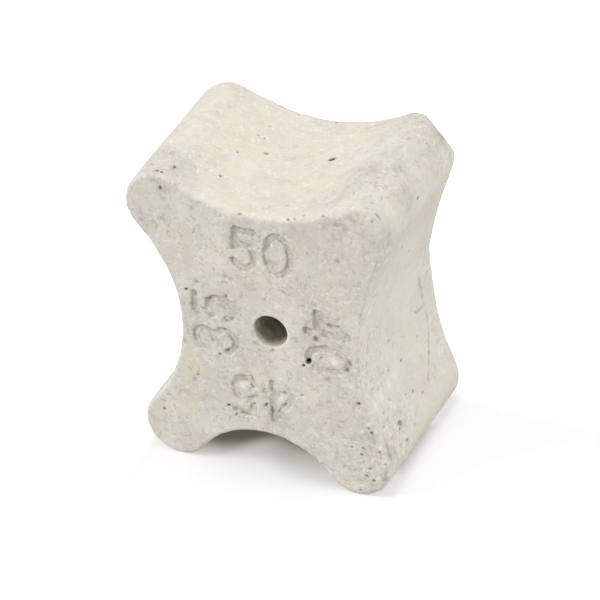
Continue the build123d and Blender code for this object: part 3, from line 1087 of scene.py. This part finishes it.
def lay_floor(scene, studio):
    """A white paper floor with a glow seen only from the camera: painted light, strong away from the block
    so that only the near shadow shows, and shaped round the block so that it paints that shadow's edge.
    """
    mesh = bpy.data.meshes.new("studio_floor")
    bm = bmesh.new()
    bmesh.ops.create_grid(bm, x_segments=4, y_segments=4, size=3.0)
    bm.to_mesh(mesh)
    bm.free()
    floor = bpy.data.objects.new("studio_floor", mesh)
    scene.collection.objects.link(floor)
    paper = bpy.data.materials.new("white_paper_with_painted_glow")
    mesh.materials.append(paper)
    tree = new_tree(paper)
    where = add_node(tree, "ShaderNodeTexCoord").outputs["Object"]
    parts = add_node(tree, "ShaderNodeSeparateXYZ", {0: where}).outputs
    depth = add_maths(tree, "ABSOLUTE", parts["Y"])
    breadth = add_maths(tree, "ABSOLUTE", parts["X"])

    def ramp(source, begin, end, low, high):
        """A smooth rise between two places in mm."""
        return add_ramp(tree, source, begin * MM, end * MM, low, high, "SMOOTHSTEP")

    # Under the block the floor's colour is a little warmer: painted bounce light, for light that comes off
    # the concrete
    under = add_maths(tree, "MULTIPLY", ramp(depth, 6, 14, 1, 0), ramp(breadth, 13, 17, 1, 0))
    paint = add_node(tree, "ShaderNodeMix", data_type="RGBA", inputs={
        0: under, 6: (*studio.floor_colour, 1), 7: (*studio.painted_bounce_floor, 1)})
    matt = add_node(tree, "ShaderNodeBsdfDiffuse", {"Color": paint.outputs[2]})

    # The glow is painted light: brighter in front, beside and behind, further out on the left,
    # and darker inside the right foot, where it paints a shadow
    lag = ramp(parts["X"], -10, -2, -5 * MM, 0)
    in_front = ramp(add_maths(tree, "ADD", depth, lag), 3, 8.4, 0, 0.38)
    foot = add_node(tree, "ShaderNodeVectorMath", operation="MULTIPLY_ADD", inputs={
        0: where, 1: (0.6, 1, 1), 2: (-4.8 * MM, 8.5 * MM, 0)})
    away = add_node(tree, "ShaderNodeVectorMath", {0: foot}, operation="LENGTH")
    in_front = add_maths(tree, "ADD", in_front, ramp(away.outputs["Value"], 3.5, 8, -0.14, 0))
    rising = add_maths(tree, "MAXIMUM", in_front, ramp(breadth, 17.5, 22.5, 0, 0.52))
    rising = add_maths(tree, "ADD", rising, ramp(parts["Y"], 14, 20, 0, 0.30))
    path = add_node(tree, "ShaderNodeLightPath")
    seen = add_maths(tree, "MULTIPLY", path.outputs["Is Camera Ray"], rising)
    glow = add_node(tree, "ShaderNodeEmission", {"Strength": seen})
    both = add_node(tree, "ShaderNodeAddShader", {0: matt, 1: glow})
    add_node(tree, "ShaderNodeOutputMaterial", {"Surface": both})


def light_room(scene, studio):
    """Light from all round, and a lamp on either side."""
    scene.world = bpy.data.worlds.new("white_room")
    tree = new_tree(scene.world)
    # Brighter in front and on the left, so that the arch stays in shadow and the digits' walls show
    outward = add_node(tree, "ShaderNodeTexCoord").outputs["Generated"]
    side = add_node(tree, "ShaderNodeVectorMath", operation="DOT_PRODUCT", inputs={
        0: outward, 1: (-0.25, -0.35, 0)})
    level = add_ramp(tree, side.outputs["Value"], -1, 1, 0, studio.sky_strength * 2)
    sky = add_node(tree, "ShaderNodeBackground", {"Color": (1, 1, 1, 1), "Strength": level})
    add_node(tree, "ShaderNodeOutputWorld", {"Surface": sky})

    for name, strength, softness, towards in (
        ("key_lamp", studio.key_strength, 25, (0.66, 0.42, -0.62)),
        ("fill_lamp", studio.fill_strength, 60, (-0.85, -0.05, -0.50)),
    ):
        lamp = bpy.data.lights.new(name, "SUN")
        lamp.energy = strength
        lamp.angle = radians(softness)
        holder = bpy.data.objects.new(name, lamp)
        holder.rotation_mode = "QUATERNION"
        holder.rotation_quaternion = Vector(towards).to_track_quat("-Z", "Y")
        scene.collection.objects.link(holder)


def aim_camera(scene, studio):
    """The camera at the photograph's viewing angle."""
    lens = bpy.data.cameras.new("camera")
    lens.sensor_width = 36.0
    lens.lens = studio.lens
    lens.clip_start = 0.01
    lens.clip_end = 20.0
    camera = bpy.data.objects.new("camera", lens)
    scene.collection.objects.link(camera)
    yaw, pitch, roll = studio.yaw, studio.pitch, studio.roll
    ahead = Vector((-sin(yaw) * cos(pitch), cos(yaw) * cos(pitch), -sin(pitch)))
    level = Vector((cos(yaw), sin(yaw), 0))
    upright = level.cross(ahead)
    right = level * cos(roll) + upright * sin(roll)
    up = upright * cos(roll) - level * sin(roll)
    aim = Vector((0, 0, AIM_HEIGHT * MM)) + right * AIM_RIGHT * MM + up * AIM_UP * MM
    turned = Matrix((right, up, -ahead)).transposed().to_4x4()
    camera.matrix_world = Matrix.Translation(aim - ahead * studio.distance) @ turned
    scene.camera = camera


class SPACER_OT_set_studio(bpy.types.Operator):
    """Sets the white floor, the lamps and the camera"""

    bl_idname = "spacer.set_studio"
    bl_label = "Set Studio"
    bl_options = {"REGISTER", "UNDO"}

    def execute(self, context):
        scene = context.scene
        scene.view_settings.view_transform = "Standard"
        for step in (lay_floor, light_room, aim_camera):
            step(scene, scene.spacer_studio)
        return {"FINISHED"}


class SPACER_PT_panel(bpy.types.Panel):
    """Steps and sizes of the spacer"""

    bl_idname = "SPACER_PT_panel"
    bl_label = "Concrete Spacer"
    bl_space_type = "VIEW_3D"
    bl_region_type = "UI"
    bl_category = "Spacer"

    def draw(self, context):
        layout = self.layout
        for step in STEPS:
            layout.operator(step.bl_idname)
        for name in GROUPS:
            group = getattr(context.scene, name)
            box = layout.box()
            for setting in group.__annotations__:
                box.prop(group, setting)


STEPS = (SPACER_OT_mix_concrete, SPACER_OT_cast_block, SPACER_OT_press_pinholes, SPACER_OT_set_studio)
GROUPS = {
    "spacer_shape": SpacerShape,
    "spacer_surface": SpacerSurface,
    "spacer_colours": SpacerColours,
    "spacer_studio": SpacerStudio,
}


def register():
    """Registers the settings, the steps and the panel."""
    for name, group in GROUPS.items():
        bpy.utils.register_class(group)
        setattr(bpy.types.Scene, name, bpy.props.PointerProperty(type=group))
    for step in STEPS:
        bpy.utils.register_class(step)
    bpy.utils.register_class(SPACER_PT_panel)


def unregister():
    """Removes what register added."""
    bpy.utils.unregister_class(SPACER_PT_panel)
    for step in reversed(STEPS):
        bpy.utils.unregister_class(step)
    for name, group in reversed(GROUPS.items()):
        delattr(bpy.types.Scene, name)
        bpy.utils.unregister_class(group)


def main():
    """Builds the scene."""
    register()
    bpy.ops.spacer.mix_concrete()
    bpy.ops.spacer.cast_block()
    bpy.ops.spacer.press_pinholes()
    bpy.ops.spacer.set_studio()


if __name__ == "__main__":
    main()
